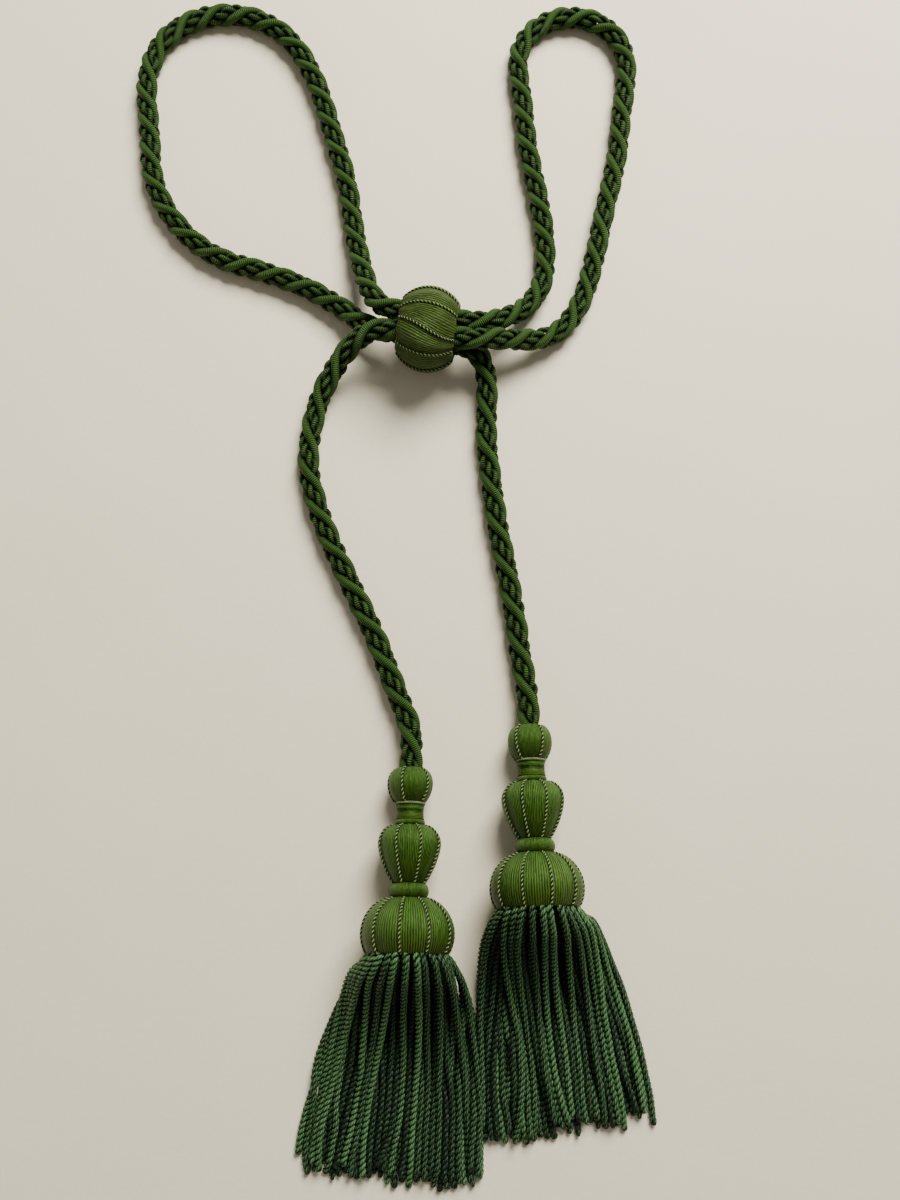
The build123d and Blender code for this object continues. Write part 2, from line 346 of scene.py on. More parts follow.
def silk_floss(name, dark, light, threads=170, relief=0.0007, blend=0.3, foot=0.7):
    """Satin floss: fine fibres laid along the piece in so many threads round it, with painted shade
    along the gore lines and painted olive shade towards the foot of a turning."""
    finish = Finish(name, Specular_IOR_Level=0.45, Specular_Tint=(0.62, 0.95, 0.3, 1))
    x, y, z = finish.grain()
    fine = finish.noise(finish.vector(x * 1.7, y * 1.7, z * 0.16), 1.0, 4.0)
    hair = finish.noise(finish.vector(x * 5, y * 5, z * 0.6), 1.0, 3.0)
    lock = finish.noise(finish.vector(x * 0.4, y * 0.4, z * 0.04), 1.0, 1.0)
    laid = (y.math("ARCTAN2", x) * threads + fine * 5).math("SINE") * 0.5 + 0.5
    fibres = laid * blend + fine * (0.7 - blend) + hair * 0.3
    crease_shade = finish.attribute("crease_shade", "Fac")
    shade = smooth_step(fibres * 0.9 + lock * 0.1, 0.41, 0.58)
    colour = finish.colour(shade, dark, light)
    # painted shade: an olive copy of the light colour, mixed in towards the foot of each turning, where
    # less light falls
    olive_foot_shade = finish.colour(shade, dark, (light[0] * 0.7, light[1] * 0.33, light[2] * 0.2))
    colour = finish.colour(smooth_step(finish.attribute("foot", "Fac"), 0.3, 1.0) * foot, colour, olive_foot_shade)
    # painted shade: the floss is darkened near each gore line
    painted_shade = tuple(c * 0.1 for c in dark)
    colour = finish.colour(smooth_step(crease_shade, 0.25, 0.8), colour, painted_shade)
    return finish.surface(colour, 0.36 + 0.25 * hair, fibres, relief)


def wrapped_gimp(name, dark, light, pitch, valley, toned=0.25):
    """A core wrapped round and round in thread, so that it is ribbed across, with painted shade in the
    valleys between strands, which lie below the height valley."""
    finish = Finish(name, Specular_IOR_Level=0.4, Specular_Tint=(0.6, 0.95, 0.4, 1))
    x, y, z = finish.grain()
    drift = finish.noise(finish.vector(x * 0.35, y * 0.35, z * 0.12), 1.0, 2.0)
    ribs = (z * (TURN / pitch) + drift * 5.0).math("SINE") * 0.5 + 0.5
    fibre = finish.noise(finish.vector(x * 1.2, y * 1.2, z * 3.5), 1.0, 3.0)
    tone = finish.attribute("tone", "Fac")
    shade = smooth_step(ribs * 0.45 + fibre * 0.4 + drift * 0.15 + (tone - 0.5) * toned, 0.3, 0.72)
    # painted shade: points that lie low between the strands are darkened
    height = smooth_step(finish.attribute("height", "Fac"), valley, 1.0)
    painted_shade = tuple(c * 0.25 for c in dark)
    colour = finish.colour(height, painted_shade, finish.colour(shade, dark, light))
    return finish.surface(colour, 0.5 + 0.2 * fibre, ribs * 0.75 + fibre * 0.5, 0.0007)


def bullion_yarn(name, dark, light):
    """Hard-twisted yarn of a bullion: fine threads that wind round the ply, with painted shade in the
    crevices between plies.
    """
    finish = Finish(name, Specular_IOR_Level=0.5, Specular_Tint=(0.6, 0.95, 0.6, 1))
    x, y, z = finish.grain()
    around = y.math("ARCTAN2", x)
    thread = (around * 4 + z * 2.2).math("SINE") * 0.5 + 0.5
    fibre = finish.noise(finish.vector(x * 2.5, y * 2.5, z * 0.9), 1.0, 3.0)
    # tone: random per bullion, lowered for the inner round as painted shade
    tone = finish.attribute("tone", "Fac")
    shade = smooth_step(thread * 0.35 + fibre * 0.45 + tone * 0.3, 0.3, 0.85)
    # painted shade: points that lie low between the plies are darkened
    height = smooth_step(finish.attribute("height", "Fac"), 0.68, 1.0)
    painted_shade = tuple(c * 0.25 for c in dark)
    colour = finish.colour(height, painted_shade, finish.colour(shade, dark, light))
    return finish.surface(colour, 0.42 + 0.25 * fibre, thread * 0.6 + fibre * 0.5, 0.0005)


def turned_wood(name):
    """Limewood stained dark green, with turning marks, so that none shows pale between the gores."""
    finish = Finish(name)
    place = finish.add("ShaderNodeTexCoord", (), (), "Object")
    long_grain = finish.add("ShaderNodeMapping", (), {"Vector": place, "Scale": (900, 60, 900)})
    grain = finish.noise(long_grain, 1.0, 4.0)
    marks = finish.noise(place, 400.0, 2.0)
    colour = finish.colour(grain, (0.006, 0.012, 0.004), (0.016, 0.032, 0.009))
    return finish.surface(colour, 0.55 + 0.2 * marks, grain * 0.7 + marks * 0.3, 0.0003)


def wound_thread(name, side):
    """Binding thread laid round and round the tassel's axis."""
    finish = Finish(name)
    place = finish.add("ShaderNodeTexCoord", (), (), "Object")
    back = places[side].inverted()
    inputs = {"Vector": place, "Location": back.translation, "Rotation": back.to_euler()}
    local = finish.add("ShaderNodeMapping", (), inputs)
    along = finish.add("ShaderNodeSeparateXYZ", (), {0: local}).output("Z")
    rounds = (along * (TURN / (0.7 * MM))).math("SINE") * 0.5 + 0.5
    fuzz = finish.noise(place, 1800.0, 3.0)
    colour = finish.colour(rounds * 0.6 + fuzz * 0.4, (0.012, 0.03, 0.006), (0.06, 0.12, 0.03))
    return finish.surface(colour, 0.6 + 0.2 * fuzz, rounds * 0.8 + fuzz * 0.3, 0.0003)


def pale_floor(name):
    """A plain pale polished floor."""
    finish = Finish(name, Specular_IOR_Level=0.3)
    place = finish.add("ShaderNodeTexCoord", (), (), "Object")
    cloud = finish.noise(place, 9.0, 4.0)
    speck = finish.noise(place, 260.0, 3.0)
    colour = finish.colour(cloud * 0.5 + speck * 0.5, (0.80, 0.72, 0.52), (0.90, 0.82, 0.62))
    return finish.surface(colour, 0.55 + 0.1 * speck, speck, 0.0001)


head_floss = silk_floss("head_floss", (0.002, 0.005, 0.0004), (0.046, 0.122, 0.012), 110, 0.0010)
slide_floss = silk_floss("slide_floss", (0.002, 0.004, 0.0003), (0.045, 0.08, 0.010), 110, 0.0012, 0.6, 0.0)
trim = wrapped_gimp("trim_gimp", (0.003, 0.006, 0.001), (0.36, 0.46, 0.19), 0.6, 0.5, 1.6)
strand_thread = wrapped_gimp("wrapped_strand", (0.002, 0.007, 0.001), (0.036, 0.098, 0.012), 1.2, 0.55)
bullion = bullion_yarn("bullion_yarn", (0.0015, 0.005, 0.0015), (0.085, 0.19, 0.065))
wood = turned_wood("turned_wood")
threads = {side: wound_thread(f"{side}_wound_thread", side) for side in SIDES}


# ================= the cord =================
def from_slide(x, y, z):
    """A point given from under the slide's centre, as the cord's route is drawn."""
    return Vector((slide_centre.x + x * MM, slide_centre.y + y * MM, z * MM))


def on_axis(side, station):
    return places[side] @ Vector((0, 0, station * MM))


def lane(name, reach):
    """A point on one of the three straight passes through the slide."""
    angle = math.radians(LANE_ANGLE[name])
    aside = UP.cross(slide_axis)
    off = aside * math.cos(angle) + UP * math.sin(angle)
    return slide_centre + slide_axis * reach * MM + off * LANE_R * MM


left_tail = [
    (-21.5, -246, LIE), (-35.5, -209, LIE), (-55, -170, LIE), (-72, -134, LIE),
    (-84, -95, LIE), (-82, -64, LIE), (-75, -38, 9.5), (-62, -18, 18), (-48, -6, 30),
]
right_loop_out = [
    (48.5, -6.5, 30), (68, -3, 17), (91, 4, 9), (109, 28, LIE), (119, 63, LIE),
    (127, 101, LIE), (137.5, 143, LIE), (141.5, 180, LIE), (146.5, 210, LIE),
    (144.5, 232, LIE), (131.5, 250, LIE), (112, 258, LIE), (91, 256, LIE),
    (72.5, 243, LIE), (64, 222, LIE), (68.5, 191, LIE), (71, 155, LIE),
    (78, 117, LIE), (84, 80, LIE), (83, 46, LIE), (70, 23, 13), (50, 9.5, 24),
]
left_loop = [
    (-40, 27, 25), (-47, 51, 14), (-54, 83, LIE), (-59, 122, LIE), (-71, 162, LIE),
    (-82, 201, LIE), (-101, 238, LIE), (-131, 259, LIE), (-169, 260, LIE),
    (-200, 240, LIE), (-211, 205, LIE), (-205, 163, LIE), (-202, 122, LIE),
    (-181, 86, LIE), (-152, 63, LIE), (-120, 54, LIE), (-88, 42, LIE),
    (-63, 26, 9), (-48, 12, 14),
]
right_tail = [
    (40, -20, 14), (41.5, -42, 8.5), (40, -70, LIE), (43.5, -102, LIE),
    (48, -136, LIE), (54.5, -168, LIE), (59.5, -198, LIE), (62.5, -225, LIE),
]
inside = [CORD_END, 70, 34, 8]     # stations of the cord's points inside a tassel
leading_in = [-8.5, -26.5]         # and above its ball
route = [on_axis("left", s) for s in inside + leading_in]
route += [from_slide(*p) for p in left_tail]
route += [lane("top", -LANE_REACH), lane("top", LANE_REACH)]
route += [from_slide(*p) for p in right_loop_out]
route += [lane("back", LANE_REACH), lane("back", -LANE_REACH)]
route += [from_slide(*p) for p in left_loop]
route += [lane("low", -LANE_REACH), lane("low", LANE_REACH)]
route += [from_slide(*p) for p in right_tail]
route += [on_axis("right", s) for s in reversed(inside + leading_in)]


def drawn_line(points):
    """The line of one smooth spline that has these points as its control points."""
    curve = bpy.data.curves.new("cord_route", "CURVE")
    curve.dimensions = "3D"
    curve.resolution_u = 32
    spline = curve.splines.new("NURBS")
    spline.points.add(len(points) - 1)
    for control, point in zip(spline.points, points):
        control.co = (*point, 1)
    spline.order_u = 3
    spline.use_endpoint_u = True
    guide = bpy.data.objects.new("cord_route", curve)
    mesh = bpy.data.meshes.new_from_object(guide)
    line = np.array([v.co for v in mesh.vertices])
    bpy.data.objects.remove(guide)
    bpy.data.meshes.remove(mesh)
    return line


def make_cord():
    """Four strands laid together, cut unseen inside the slide into two tails and two loops."""
    line = spaced(drawn_line(route), ROPE_GAP * MM)
    run = run_along(line[None])[0]
    normal, side = (v[0] for v in carried_frames(line[None])[1:])
    off = (line - np.array(slide_centre)) @ np.array(slide_axis)
    near = np.linalg.norm(line - np.array(slide_centre), axis=1) < ROPE_D * MM
    cuts = [k for k in range(1, len(line)) if near[k] and off[k - 1] * off[k] <= 0]
    change = LAY_CHANGE * MM
    begun = np.clip((run - run[cuts[0]]) / change, 0, 1)
    in_loops = begun * np.clip((run[cuts[2]] - run) / change, 0, 1)
    lay = (TAIL_LAY + (LOOP_LAY - TAIL_LAY) * in_loops) * MM
    angle = -np.concatenate(([0], np.cumsum(np.diff(run) / lay[1:]))) * TURN

    wrapped, plied, plied_cores = [], [], []
    for half in (0, math.pi):
        wrapped.append(wound(line, normal, side, GIMP_REACH * MM, angle + half))
        way = angle + half + math.pi / 2
        core = wound(line, normal, side, PLIED_REACH * MM, way)
        outward = wound(np.zeros(3), normal, side, 1, way)
        forward = unit(np.gradient(core, axis=0))
        outward = unit(outward - forward * (outward * forward).sum(axis=1, keepdims=True))
        across = np.cross(forward, outward)
        twist = run_along(core[None])[0] / (PLY_LAY * MM) * TURN
        for ply in (0, math.pi):
            plied.append(wound(core, outward, across, PLY_D / 2 * MM, twist + ply))
            plied_cores.append(core)
    wrapped, plied, plied_cores = np.array(wrapped), np.array(plied), np.array(plied_cores)

    ends = [0, *cuts, len(line) - 1]
    names = ["left_tail_rope", "right_loop_rope", "left_loop_rope", "right_tail_rope"]
    pieces = {}
    for name, first, last in zip(names, ends, ends[1:]):
        part = slice(first, last + 1)
        piece = strands(name, [
            (wrapped[:, part], GIMP_D / 2 * MM, 12, [0.55, 0.45], [line[None, part]]),
            (plied[:, part], PLY_D / 2 * MM, 9, [0.3, 0.5, 0.4, 0.6],
             [line[None, part], plied_cores[:, part]]),
        ])
        finish_piece(piece, strand_thread, "rope", "cord")
        pieces[name] = (piece, line[part], float(run[last] - run[first]))
    return pieces


ropes = make_cord()
for side in SIDES:
    piece, line, length = ropes[f"{side}_tail_rope"]
    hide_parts(f"{side}_hanging_cord")
    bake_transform(piece)
    mouth = lane("top", -MOUTH) if side == "left" else lane("low", MOUTH)
for name, mouth in (("right_loop_rope", lane("top", MOUTH)), ("left_loop_rope", lane("back", -MOUTH))):
    piece, line, length = ropes[name]
    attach(piece, "cord")


# ================= turned and covered pieces =================
class Outline:
    """The outer radius of a turned CAD piece, measured along its axis in its own frame."""

    def __init__(self, node, place):
        mesh = frame["nodes"][node].data
        back = place.inverted()
        points = [back @ v.co for v in mesh.vertices]
        self.tree = BVHTree.FromPolygons(points, [p.vertices for p in mesh.polygons])
        self.start = min(p.z for p in points)
        self.end = max(p.z for p in points)

    def radius(self, station):
        far, widest = 0.1, 0.0
        inset = 0.02 * MM
        z = min(max(station, self.start + inset), self.end - inset)
        for k in range(12):
            out = Vector((math.cos(k * TURN / 12), math.sin(k * TURN / 12), 0))
            hit = self.tree.ray_cast(out * far + Vector((0, 0, z)), -out)[0]
            if hit:
                widest = max(widest, math.hypot(hit.x, hit.y))
        return widest

    def stations(self, count):
        """Stations that are closer together towards both ends."""
        middle, half = (self.start + self.end) / 2, (self.end - self.start) / 2
        return [middle - half * math.cos(math.pi * k / (count - 1)) for k in range(count)]


def drawn_out(name, profile, around):
    """A ring of edges drawn out along Z and sized at each (radius, station) of the profile."""
    bpy.ops.object.select_all(action="DESELECT")
    bpy.ops.mesh.primitive_circle_add(vertices=around, radius=profile[0][0])
    piece = bpy.context.object
    piece.name = name
    piece.data.name = name
    bpy.ops.object.mode_set(mode="EDIT")
    bpy.ops.mesh.select_all(action="SELECT")
    bpy.ops.transform.translate(value=(0, 0, profile[0][1]))
    for (r, s), (next_r, next_s) in zip(profile, profile[1:]):
        bpy.ops.mesh.extrude_region_move(TRANSFORM_OT_translate={"value": (0, 0, next_s - s)})
        share = next_r / r
        bpy.ops.transform.resize(value=(share, share, 1), center_override=(0, 0, next_s))
    bpy.ops.mesh.select_all(action="SELECT")
    bpy.ops.mesh.normals_make_consistent(inside=False)
    bpy.ops.object.mode_set(mode="OBJECT")
    return piece


def select_lines(piece, angles, spread):
    """Selects the points whose direction from the axis is within spread of one of angles."""
    co = np.array([v.co for v in piece.data.vertices])
    around = np.arctan2(co[:, 1], co[:, 0])
    apart = np.abs((around[:, None] - np.array(angles) + math.pi) % TURN - math.pi).min(axis=1)
    bpy.ops.object.mode_set(mode="EDIT")
    bpy.ops.mesh.select_all(action="DESELECT")
    bpy.ops.object.mode_set(mode="OBJECT")
    piece.data.vertices.foreach_set("select", apart < spread)


def push_selected(piece, distance):
    """Moves the selected points along their normals."""
    bpy.ops.object.mode_set(mode="EDIT")
    bpy.ops.transform.shrink_fatten(value=distance)
    bpy.ops.object.mode_set(mode="OBJECT")


def applied(piece, kind, **settings):
    modifier = piece.modifiers.new(kind.lower(), kind)
    for key, value in settings.items():
        setattr(modifier, key, value)
    bpy.context.view_layer.objects.active = piece
    bpy.ops.object.modifier_apply(modifier=modifier.name)


def record_grain(piece, radius, angles=(), wound_round=False):
    """Writes which way the fibres run, and how near each point is to a gore line."""
    co = np.array([v.co for v in piece.data.vertices])
    around = np.arctan2(co[:, 1], co[:, 0])
    grain = np.column_stack([np.cos(around) * radius, np.sin(around) * radius, co[:, 2]]) / MM
    if wound_round:
        grain = np.column_stack([co[:, 2], np.hypot(co[:, 0], co[:, 1]), around * radius]) / MM
    write_attribute(piece.data, "grain", grain)
    # nearness to a gore line, the mask for the painted shade along the gore lines
    crease_shade = np.zeros(len(co))
    if len(angles):
        away = np.abs((around[:, None] - np.array(angles) + math.pi) % TURN - math.pi).min(axis=1)
        reach = np.hypot(co[:, 0], co[:, 1])
        crease_shade = np.clip(1 - away * reach / (CREASE_REACH * MM), 0, 1)
    write_attribute(piece.data, "crease_shade", crease_shade)
    # share along the axis, the mask for the painted shade towards the foot of each turning
    write_attribute(piece.data, "foot", (co[:, 2] - co[:, 2].min()) / np.ptp(co[:, 2]))


def put_in_place(piece, place, body):
    """Moves a piece made at the origin to its place, pressed flat where it lies on the floor."""
    piece.data.transform(place)
    for v in piece.data.vertices:
        v.co.z = max(v.co.z, 0)
    piece.data.shade_smooth()
    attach(piece, body)


def gore_angles(count, first):
    return [math.radians(first + 360 * k / count) for k in range(count)]


def lean(around, station, slant):
    """Angles turned a little more towards one end, most at the line that leans."""
    line, turn, width, half = slant
    away = (around - line + math.pi) % TURN - math.pi
    return around + turn * (station / half) * np.exp(-((away / width)**2))


def covered(name, node, place, body, angles, tucks, columns=8, rows=15, puff=PUFF, slant=None,
            material=head_floss):
    """Floss over a mould: drawn in along the gore lines, swelling between them, tucked in at
    both ends to the radii given by tucks."""
    outline = Outline(node, place)
    middle = outline.stations(rows)
    profile = [(outline.radius(s), s) for s in middle]
    lip = FLOSS_LIP * MM
    profile[0] = (profile[0][0] - lip, profile[0][1])
    profile[-1] = (profile[-1][0] - lip, profile[-1][1])
    profile.insert(0, (tucks[0] * MM, outline.start - lip))
    profile.append((tucks[1] * MM, outline.end + lip))
    around = len(angles) * columns
    piece = drawn_out(name, profile, around)
    piece.data.transform(Matrix.Rotation(angles[0], 4, "Z"))
    step = TURN / around
    select_lines(piece, angles, step * 0.4)
    push_selected(piece, -CREASE * MM)
    select_lines(piece, [a + TURN / len(angles) / 2 for a in angles], step * 1.6)
    push_selected(piece, puff * MM)
    applied(piece, "SUBSURF", levels=1, render_levels=1)
    applied(piece, "SOLIDIFY", thickness=FLOSS_WALL * MM, offset=-1)
    record_grain(piece, max(r for r, s in profile), angles)
    if slant:
        for v in piece.data.vertices:
            reach = math.hypot(v.co.x, v.co.y)
            turned = lean(math.atan2(v.co.y, v.co.x), v.co.z, slant)
            v.co = (reach * math.cos(turned), reach * math.sin(turned), v.co.z)
    put_in_place(piece, place, body)
    return finish_piece(piece, material, "floss", node)


def trimming(name, node, cover, place, body, angles, slant=None):
    """Two-ply gimps along the gore lines."""
    outline = Outline(cover, place)
    points = 90
    stations = np.linspace(outline.start + 0.2 * MM, outline.end - 0.2 * MM, points)
    radii = np.array([outline.radius(s) for s in stations]) + TRIM_PROUD * MM
    radii[0] -= TRIM_DIVE * MM
    radii[-1] -= TRIM_DIVE * MM
    lines = []
    for angle in angles:
        around = np.full(points, angle)
        if slant:
            around = lean(around, stations, slant)
        lines.append(np.column_stack([radii * np.cos(around), radii * np.sin(around), stations]))
    count = len(spaced(lines[0], TRIM_GAP * MM))
    lines = np.array([evened(line, count) for line in lines])
    normal, side = carried_frames(lines)[1:]
    twist = run_along(lines) / (TRIM_LAY * MM) * TURN
    plies = np.concatenate([wound(lines, normal, side, TRIM_PLY_D / 2 * MM, twist + half)
                            for half in (0, math.pi)])
    turned = np.array(place)
    plies, lines = (part @ turned[:3, :3].T + turned[:3, 3] for part in (plies, lines))
    cores = np.concatenate([lines, lines])
    tones = np.repeat([1.0, 0.0], len(lines))
    piece = strands(name, [(plies, TRIM_PLY_D / 2 * MM, 6, tones, [cores])])
    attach(piece, body)
    return finish_piece(piece, trim, "gimp", node)


def roll(name, node, place, body, profile, around, material, slot):
    """A closed ring round the cord.  Its profile runs from the bore, out and back to the bore."""
    piece = drawn_out(name, profile, around)
    bpy.ops.object.mode_set(mode="EDIT")
    bpy.ops.mesh.select_all(action="DESELECT")
    bpy.ops.mesh.select_mode(type="EDGE")
    bpy.ops.mesh.select_non_manifold()
    bpy.ops.mesh.bridge_edge_loops()
    bpy.ops.mesh.select_all(action="SELECT")
    bpy.ops.mesh.normals_make_consistent(inside=False)
    bpy.ops.mesh.select_mode(type="VERT")
    bpy.ops.object.mode_set(mode="OBJECT")
    applied(piece, "SUBSURF", levels=1, render_levels=1)
    record_grain(piece, max(r for r, s in profile), wound_round=slot == "thread")
    put_in_place(piece, place, body)
    return finish_piece(piece, material, slot, node)


gore_turns = {
    "left": {"ball": 21, "bulb": 22.5, "melon": 8},
    "right": {"ball": 41, "bulb": 23, "melon": 22},
}
BORE = ROPE_D / 2


def neck_cord(side, place, body):
    """A single two-ply cord round the top of the neck."""
    ring = Outline(f"{side}_neck_top_ring", place)
    middle = (ring.start + ring.end) / 2
    reach = ring.radius(middle) - 0.75 * MM
    count = 168
    around = np.arange(count) * TURN / count
    outward = np.column_stack([np.cos(around), np.sin(around), np.zeros(count)])
    centre = outward * reach + np.array([0, 0, middle])
    along = np.array([0, 0, 1.0])
    plies = np.array([wound(centre, outward, along, NECK_CORD_REACH * MM, around * NECK_CORD_TURNS + half)
                      for half in (0, math.pi)])
    turned = np.array(place)
    plies, centre = (part @ turned[:3, :3].T + turned[:3, 3] for part in (plies, centre[None]))
    group = (plies, NECK_CORD_PLY_D / 2 * MM, 6, [0.6, 0.6], [centre])
    piece = strands(f"{side}_neck_cord", [group], ring=True)
    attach(piece, body)
    finish_piece(piece, trim, "gimp", f"{side}_neck_top_ring")


def neck_winding(side, place, body):
    """Thread wound round the waist, one ridge to a round."""
    waist = Outline(f"{side}_neck_wrap", place)
    pitch = (waist.end - waist.start) / NECK_ROUNDS
    ridge = ((0.04, 0.5), (0.32, 0.0), (0.68, 0.0), (0.96, 0.5))
    profile = [(BORE * MM, waist.start)]
    for k in range(NECK_ROUNDS):
        for share, drop in ridge:
            s = waist.start + (k + share) * pitch
            profile.append((waist.radius(s) - drop * MM, s))
    profile.append((BORE * MM, waist.end))
    roll(f"{side}_neck_winding", f"{side}_neck_wrap", place, body, profile, 40,
         head_floss, "thread")


def plain_rolls(side, place, body):
    """The roll at the foot of the neck, and the collar."""
    rolls = (("neck_roll", "neck_base_ring", 9, BORE), ("collar_roll", "collar_cover", 11, BORE + 0.6))
    for part, node, rows, bore in rolls:
        shape = Outline(f"{side}_{node}", place)
        profile = [(bore * MM, shape.start)]
        profile += [(shape.radius(s), s) for s in shape.stations(rows)]
        profile.append((bore * MM, shape.end))
        roll(f"{side}_{part}", f"{side}_{node}", place, body, profile, 56, head_floss, "floss")


def make_head(side):
    """The covered head of one tassel, from its ball down to the melon."""
    place, body = places[side], f"{side}_tassel"
    turned_pieces = {
        "ball": (5, 12, 13, (BORE + 0.1, BORE + 0.4)),
        "bulb": (8, 8, 15, (BORE + 0.4, BORE + 0.4)),
        "melon": (10, 8, 15, (BORE + 0.4, 21.3)),
    }
    for part, (gores, columns, rows, tucks) in turned_pieces.items():
        angles = gore_angles(gores, gore_turns[side][part])
        cover = f"{side}_{part}_cover"
        covered(f"{side}_{part}_floss", cover, place, body, angles, tucks, columns, rows)
        trimming(f"{side}_{part}_trim", f"{side}_{part}_gimps", cover, place, body, angles)

    neck_cord(side, place, body)
    neck_winding(side, place, body)
    plain_rolls(side, place, body)
    for node in ("ball_mould", "bulb_mould", "melon_mould", "collar_core"):
        paint_node(f"{side}_{node}", wood)
    for node in ("cord_whipping", "heading_band", "heading_binding"):
        paint_node(f"{side}_{node}", threads[side])


for side in SIDES:
    make_head(side)

slide_bore = LANE_R + ROPE_D / 2 + 0.6
slide_lines = gore_angles(10, -14)
slide_slant = (slide_lines[1], math.radians(15), math.radians(26), (slide_high.z - slide_low.z) / 3)
covered("slide_floss_cover", "slide_cover", slide_place, "slide", slide_lines,
        (slide_bore - 0.3, slide_bore - 0.3), puff=SLIDE_PUFF, slant=slide_slant, material=slide_floss)
trimming("slide_trim", "slide_gimps", "slide_cover", slide_place, "slide", slide_lines, slide_slant)
paint_node("slide_mould", wood)


# ================= skirts =================
def settle(points, pinned, wall, steps):
    """Lets draped strands fall, lie on each other and on the floor.  Points are in millimetres,
    (strand, point, axis); pinned points at the top of each strand stay.  The wall is a point and
    the direction past it that no strand may go."""
    count, length = points.shape[:2]
    gaps = np.linalg.norm(np.diff(points, axis=1), axis=2).mean(axis=1)[:, None]
    strand_of = np.repeat(np.arange(count), length)
    free = np.ones((count, length, 1))
    free[:, :pinned] = 0
    set_bend = (points[:, :-2] + points[:, 2:]) / 2 - points[:, 1:-1]
    before = points.copy()
    touch, weight, damping = BULLION_D * 0.93, 0.06, 0.86
    look_again, margin = 8, 3.0        # steps between searches for neighbours, and how wide
    stiffness, give, least = 0.22, 0.7, 1e-6
    for step in range(steps):
        if step % look_again == 0:
            flat = points.reshape(-1, 3)
            square = (flat**2).sum(axis=1)
            apart = square[:, None] + square[None] - 2 * flat @ flat.T
            first, second = np.nonzero(np.triu(apart < (touch + margin)**2, 1))
            other = strand_of[first] != strand_of[second]
            first, second = first[other], second[other]
        moved = (points - before) * damping
        moved[..., 2] -= weight
        before = points.copy()
        points = points + moved * free
        for sweep in range(3):
            for parity in (0, 1):
                a, b = points[:, parity:-1:2], points[:, parity + 1::2]
                a = a[:, :b.shape[1]]
                wa, wb = free[:, parity:-1:2][:, :b.shape[1]], free[:, parity + 1::2]
                d = b - a
                far = np.linalg.norm(d, axis=2, keepdims=True)
                pull = d / far * (far - gaps[..., None]) / np.maximum(wa + wb, 1)
                points[:, parity:-1:2][:, :b.shape[1]] += pull * wa
                points[:, parity + 1::2] -= pull * wb
            bend = (points[:, :-2] + points[:, 2:]) / 2 - points[:, 1:-1] - set_bend
            points[:, 1:-1] += stiffness * bend * free[:, 1:-1]
            flat = points.reshape(-1, 3)
            d = flat[second] - flat[first]
            far = np.maximum(np.linalg.norm(d, axis=1), least)
            close = far < touch
            push = d[close] * (0.5 * (touch - far[close]) / far[close])[:, None] * give
            for axis in range(3):
                flat[:, axis] += np.bincount(second[close], push[:, axis], len(flat)) \
                    - np.bincount(first[close], push[:, axis], len(flat))
            points = flat.reshape(points.shape)
            points[:, :pinned] = before[:, :pinned]
            points[..., 2] = np.maximum(points[..., 2], BULLION_D / 2)
            over = (points - wall[0]) @ wall[1]
            points += np.maximum(over, 0)[..., None] * -wall[1] * free
        if step > steps / 2:               # from halfway on, the motion dies away
            before += (points - before) / 2
    return points


def drape(side, rng):
    """Centre lines of one skirt's bullions: outer round first, then the inner one."""
    place = places[side]
    axis = np.array(place.to_3x3().col[2])
    heading = math.radians(HEADING[side])
    ahead = np.array([math.sin(heading), -math.cos(heading), 0])
    aside = np.array([math.cos(heading), math.sin(heading), 0])
    rim = np.array(place @ Vector((0, 0, RIM * MM))) / MM
    x, y = np.array(place.to_3x3().col[0]), np.array(place.to_3x3().col[1])
    lines = []
    for count, reaches, spread in ROUNDS:
        locks = rng.normal(0, 2.6, count // 3 + 1)
        for k in range(count):
            angle = TURN * (k + rng.uniform(-0.2, 0.2)) / count
            out = x * math.cos(angle) + y * math.sin(angle)
            top = [rim + out * r + axis * s for r, s in zip(reaches, STATIONS)]
            length = rng.uniform(*BULLION_LENGTH)
            away = np.linspace(FAN_AT[1], length, 34)
            share = (away - away[0]) / (away[-1] - away[0])
            width = -math.sin(angle) * spread
            stray = (np.clip(3 * rng.standard_t(2.5), -13, 13) + locks[k // 3]) * share**1.3
            wave = 2.0 * np.sin(share * rng.uniform(3, 8) + rng.uniform(0, TURN)) * share
            if side == "right" and spread == 1 and k == round(0.74 * count):
                stray = 13 * share**2        # one bullion lies apart from the rest
            across = width * np.interp(away, FAN_AT, FAN_HALF) + stray + wave
            low = 4 + 14 * (0.5 + 0.5 * math.cos(angle)) * spread + rng.uniform(0, 3)
            fall = rim + ahead * away[:, None] + aside * across[:, None]
            fall[:, 2] = low + (top[-1][2] - low) * (1 - share)**1.8
            lines.append(evened(np.vstack([top, fall]), KNOTS))
    border = np.array(from_slide(BORDER, -500, 0)) / MM
    inward = np.array([1.0, 0, 0]) if side == "left" else np.array([-1.0, 0, 0])
    steps = SETTLE_STEPS
    return settle(np.array(lines), 3, (border, inward), steps), ROUNDS[0][0]


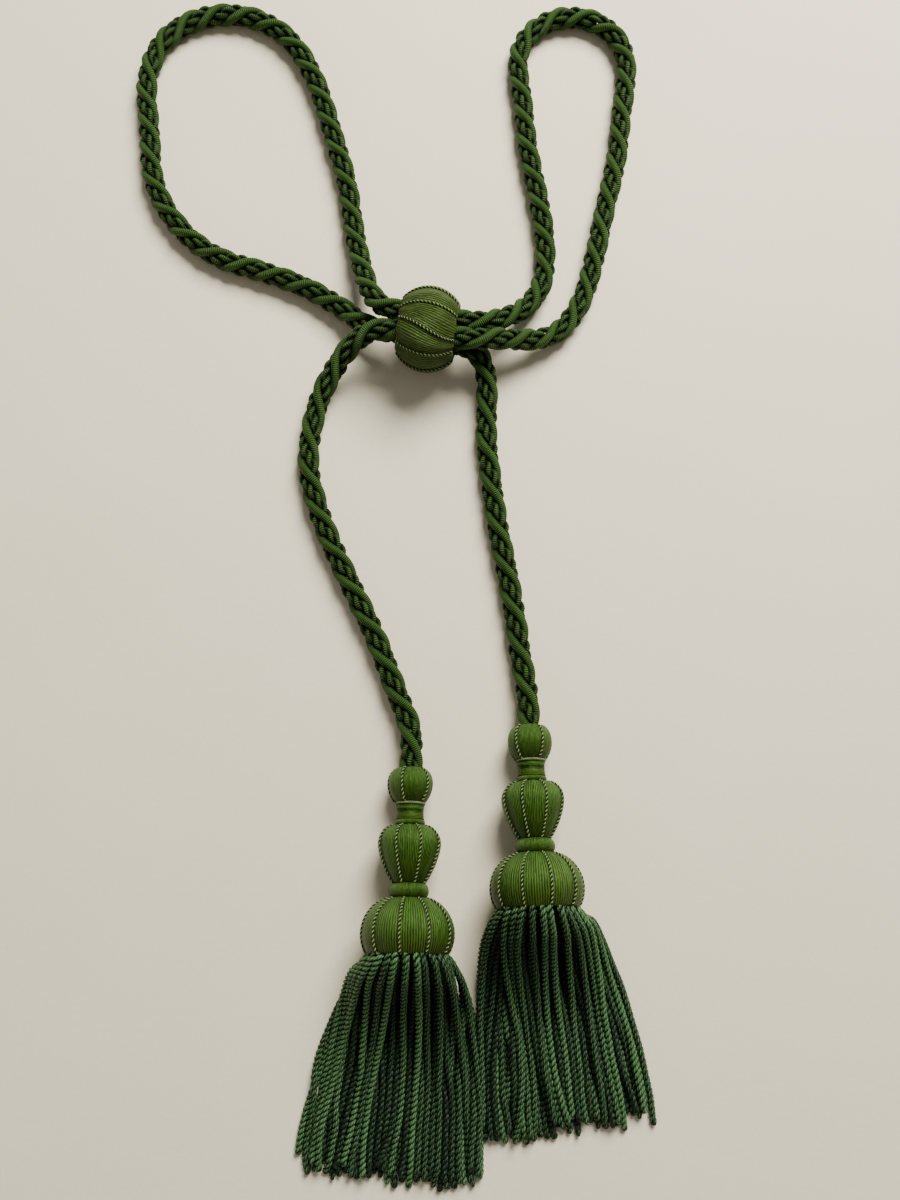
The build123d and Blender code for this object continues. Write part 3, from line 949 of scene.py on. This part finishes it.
def folded_bullions(name, centres, tones):
    """Each bullion is one cord folded in half and twisted on itself, closed at the fold."""
    lines = np.array([evened(line * MM, BULLION_RINGS) for line in centres])
    t, n, b = carried_frames(lines)
    phase = np.arange(len(lines))[:, None] * 2.4
    twist = run_along(lines) / (BULLION_LAY * MM) * TURN + phase
    reach = BULLION_PLY_D / 2 * 0.86 * MM
    down = wound(lines, n, b, reach, twist)
    up = wound(lines, n, b, reach, twist + math.pi)
    tip, point = lines[:, -1], t[:, -1]
    bend = []
    for share in (0.25, 0.5, 0.75):
        from_side = (down[:, -1] - tip) * math.cos(math.pi * share)
        bend.append(tip + from_side + point * reach * math.sin(math.pi * share))
    whole = np.concatenate([down, np.stack(bend, 1), up[:, ::-1]], axis=1)
    cores = np.concatenate([lines, np.repeat(lines[:, -1:], len(bend), 1), lines[:, ::-1]], axis=1)
    return strands(name, [(whole, BULLION_PLY_D / 2 * MM, 6, tones, [cores])])


def even_lines(centres):
    """Draped lines resampled to one number of points, smooth from knot to knot."""
    out = []
    for line in centres:
        knots = np.vstack([line[0] * 2 - line[1], line, line[-1] * 2 - line[-2]])
        before, here, ahead, after = knots[:-3], knots[1:-2], knots[2:-1], knots[3:]
        fine = []
        for u in np.linspace(0, 1, 4)[:-1]:
            fine.append(0.5 * (2 * here + (ahead - before) * u
                               + (2 * before - 5 * here + 4 * ahead - after) * u**2
                               + (3 * here - before - 3 * ahead + after) * u**3))
        fine = np.stack(fine, axis=1).reshape(-1, 3)
        out.append(np.vstack([fine, line[-1]]))
    return np.array(out)


def make_skirt(side):
    """The bullions of one skirt: an outer piece, and an inner one painted darker as shade."""
    rng = np.random.default_rng(SEEDS[side])
    centres, outer = drape(side, rng)
    centres = even_lines(centres)
    tones = rng.uniform(0, 1, len(centres))
    # painted shade: the inner round is darkened, as it lies in the shade of the outer one
    tones[outer:] -= 0.9
    for part, some in (("outer", slice(outer)), ("inner", slice(outer, None))):
        piece = folded_bullions(f"{side}_skirt_{part}", centres[some], tones[some])
        finish_piece(piece, bullion, "bullion", f"{side}_skirt")
        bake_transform(piece)


for side in SIDES:
    make_skirt(side)


# ================= floor, light and camera =================
bpy.ops.object.select_all(action="DESELECT")
bpy.ops.mesh.primitive_plane_add(size=9)
floor = bpy.context.object
floor.name = "floor"
floor.data.materials.append(pale_floor("pale_floor"))


def area_light(name, place, target, size, power, colour):
    light = bpy.data.lights.new(name, "AREA")
    light.size, light.energy, light.color = size, power, colour
    lamp = bpy.data.objects.new(name, light)
    lamp.location = place
    lamp.rotation_euler = (Vector(target) - Vector(place)).to_track_quat("-Z", "Y").to_euler()
    bpy.context.scene.collection.objects.link(lamp)


area_light("window", (0.6, 1.5, 1.5), (0, 0, 0), 1.1, 112, (1.0, 0.985, 0.94))
area_light("bounce", (-1.2, -1.1, 1.0), (0, 0, 0), 1.6, 3, (1.0, 0.75, 0.45))
world = bpy.data.worlds.new("room")
world.use_nodes = True
world.node_tree.nodes["Background"].inputs[0].default_value = (0.93, 0.95, 1.0, 1)
world.node_tree.nodes["Background"].inputs[1].default_value = 0.22
bpy.context.scene.world = world

CAMERA_RIGHT, CAMERA_NEARER, CAMERA_UP = 15.16, 315.2, 743.14     # from under the slide
CAMERA_TILT = 10           # degrees from looking straight down

lens = bpy.data.cameras.new("camera")
lens.sensor_fit = "VERTICAL"
lens.sensor_height = 36
lens.lens = 33.0
camera = bpy.data.objects.new("camera", lens)
camera.location = from_slide(CAMERA_RIGHT, -CAMERA_NEARER, CAMERA_UP)
camera.rotation_euler = (math.radians(CAMERA_TILT), 0, 0)
bpy.context.scene.collection.objects.link(camera)
bpy.context.scene.camera = camera
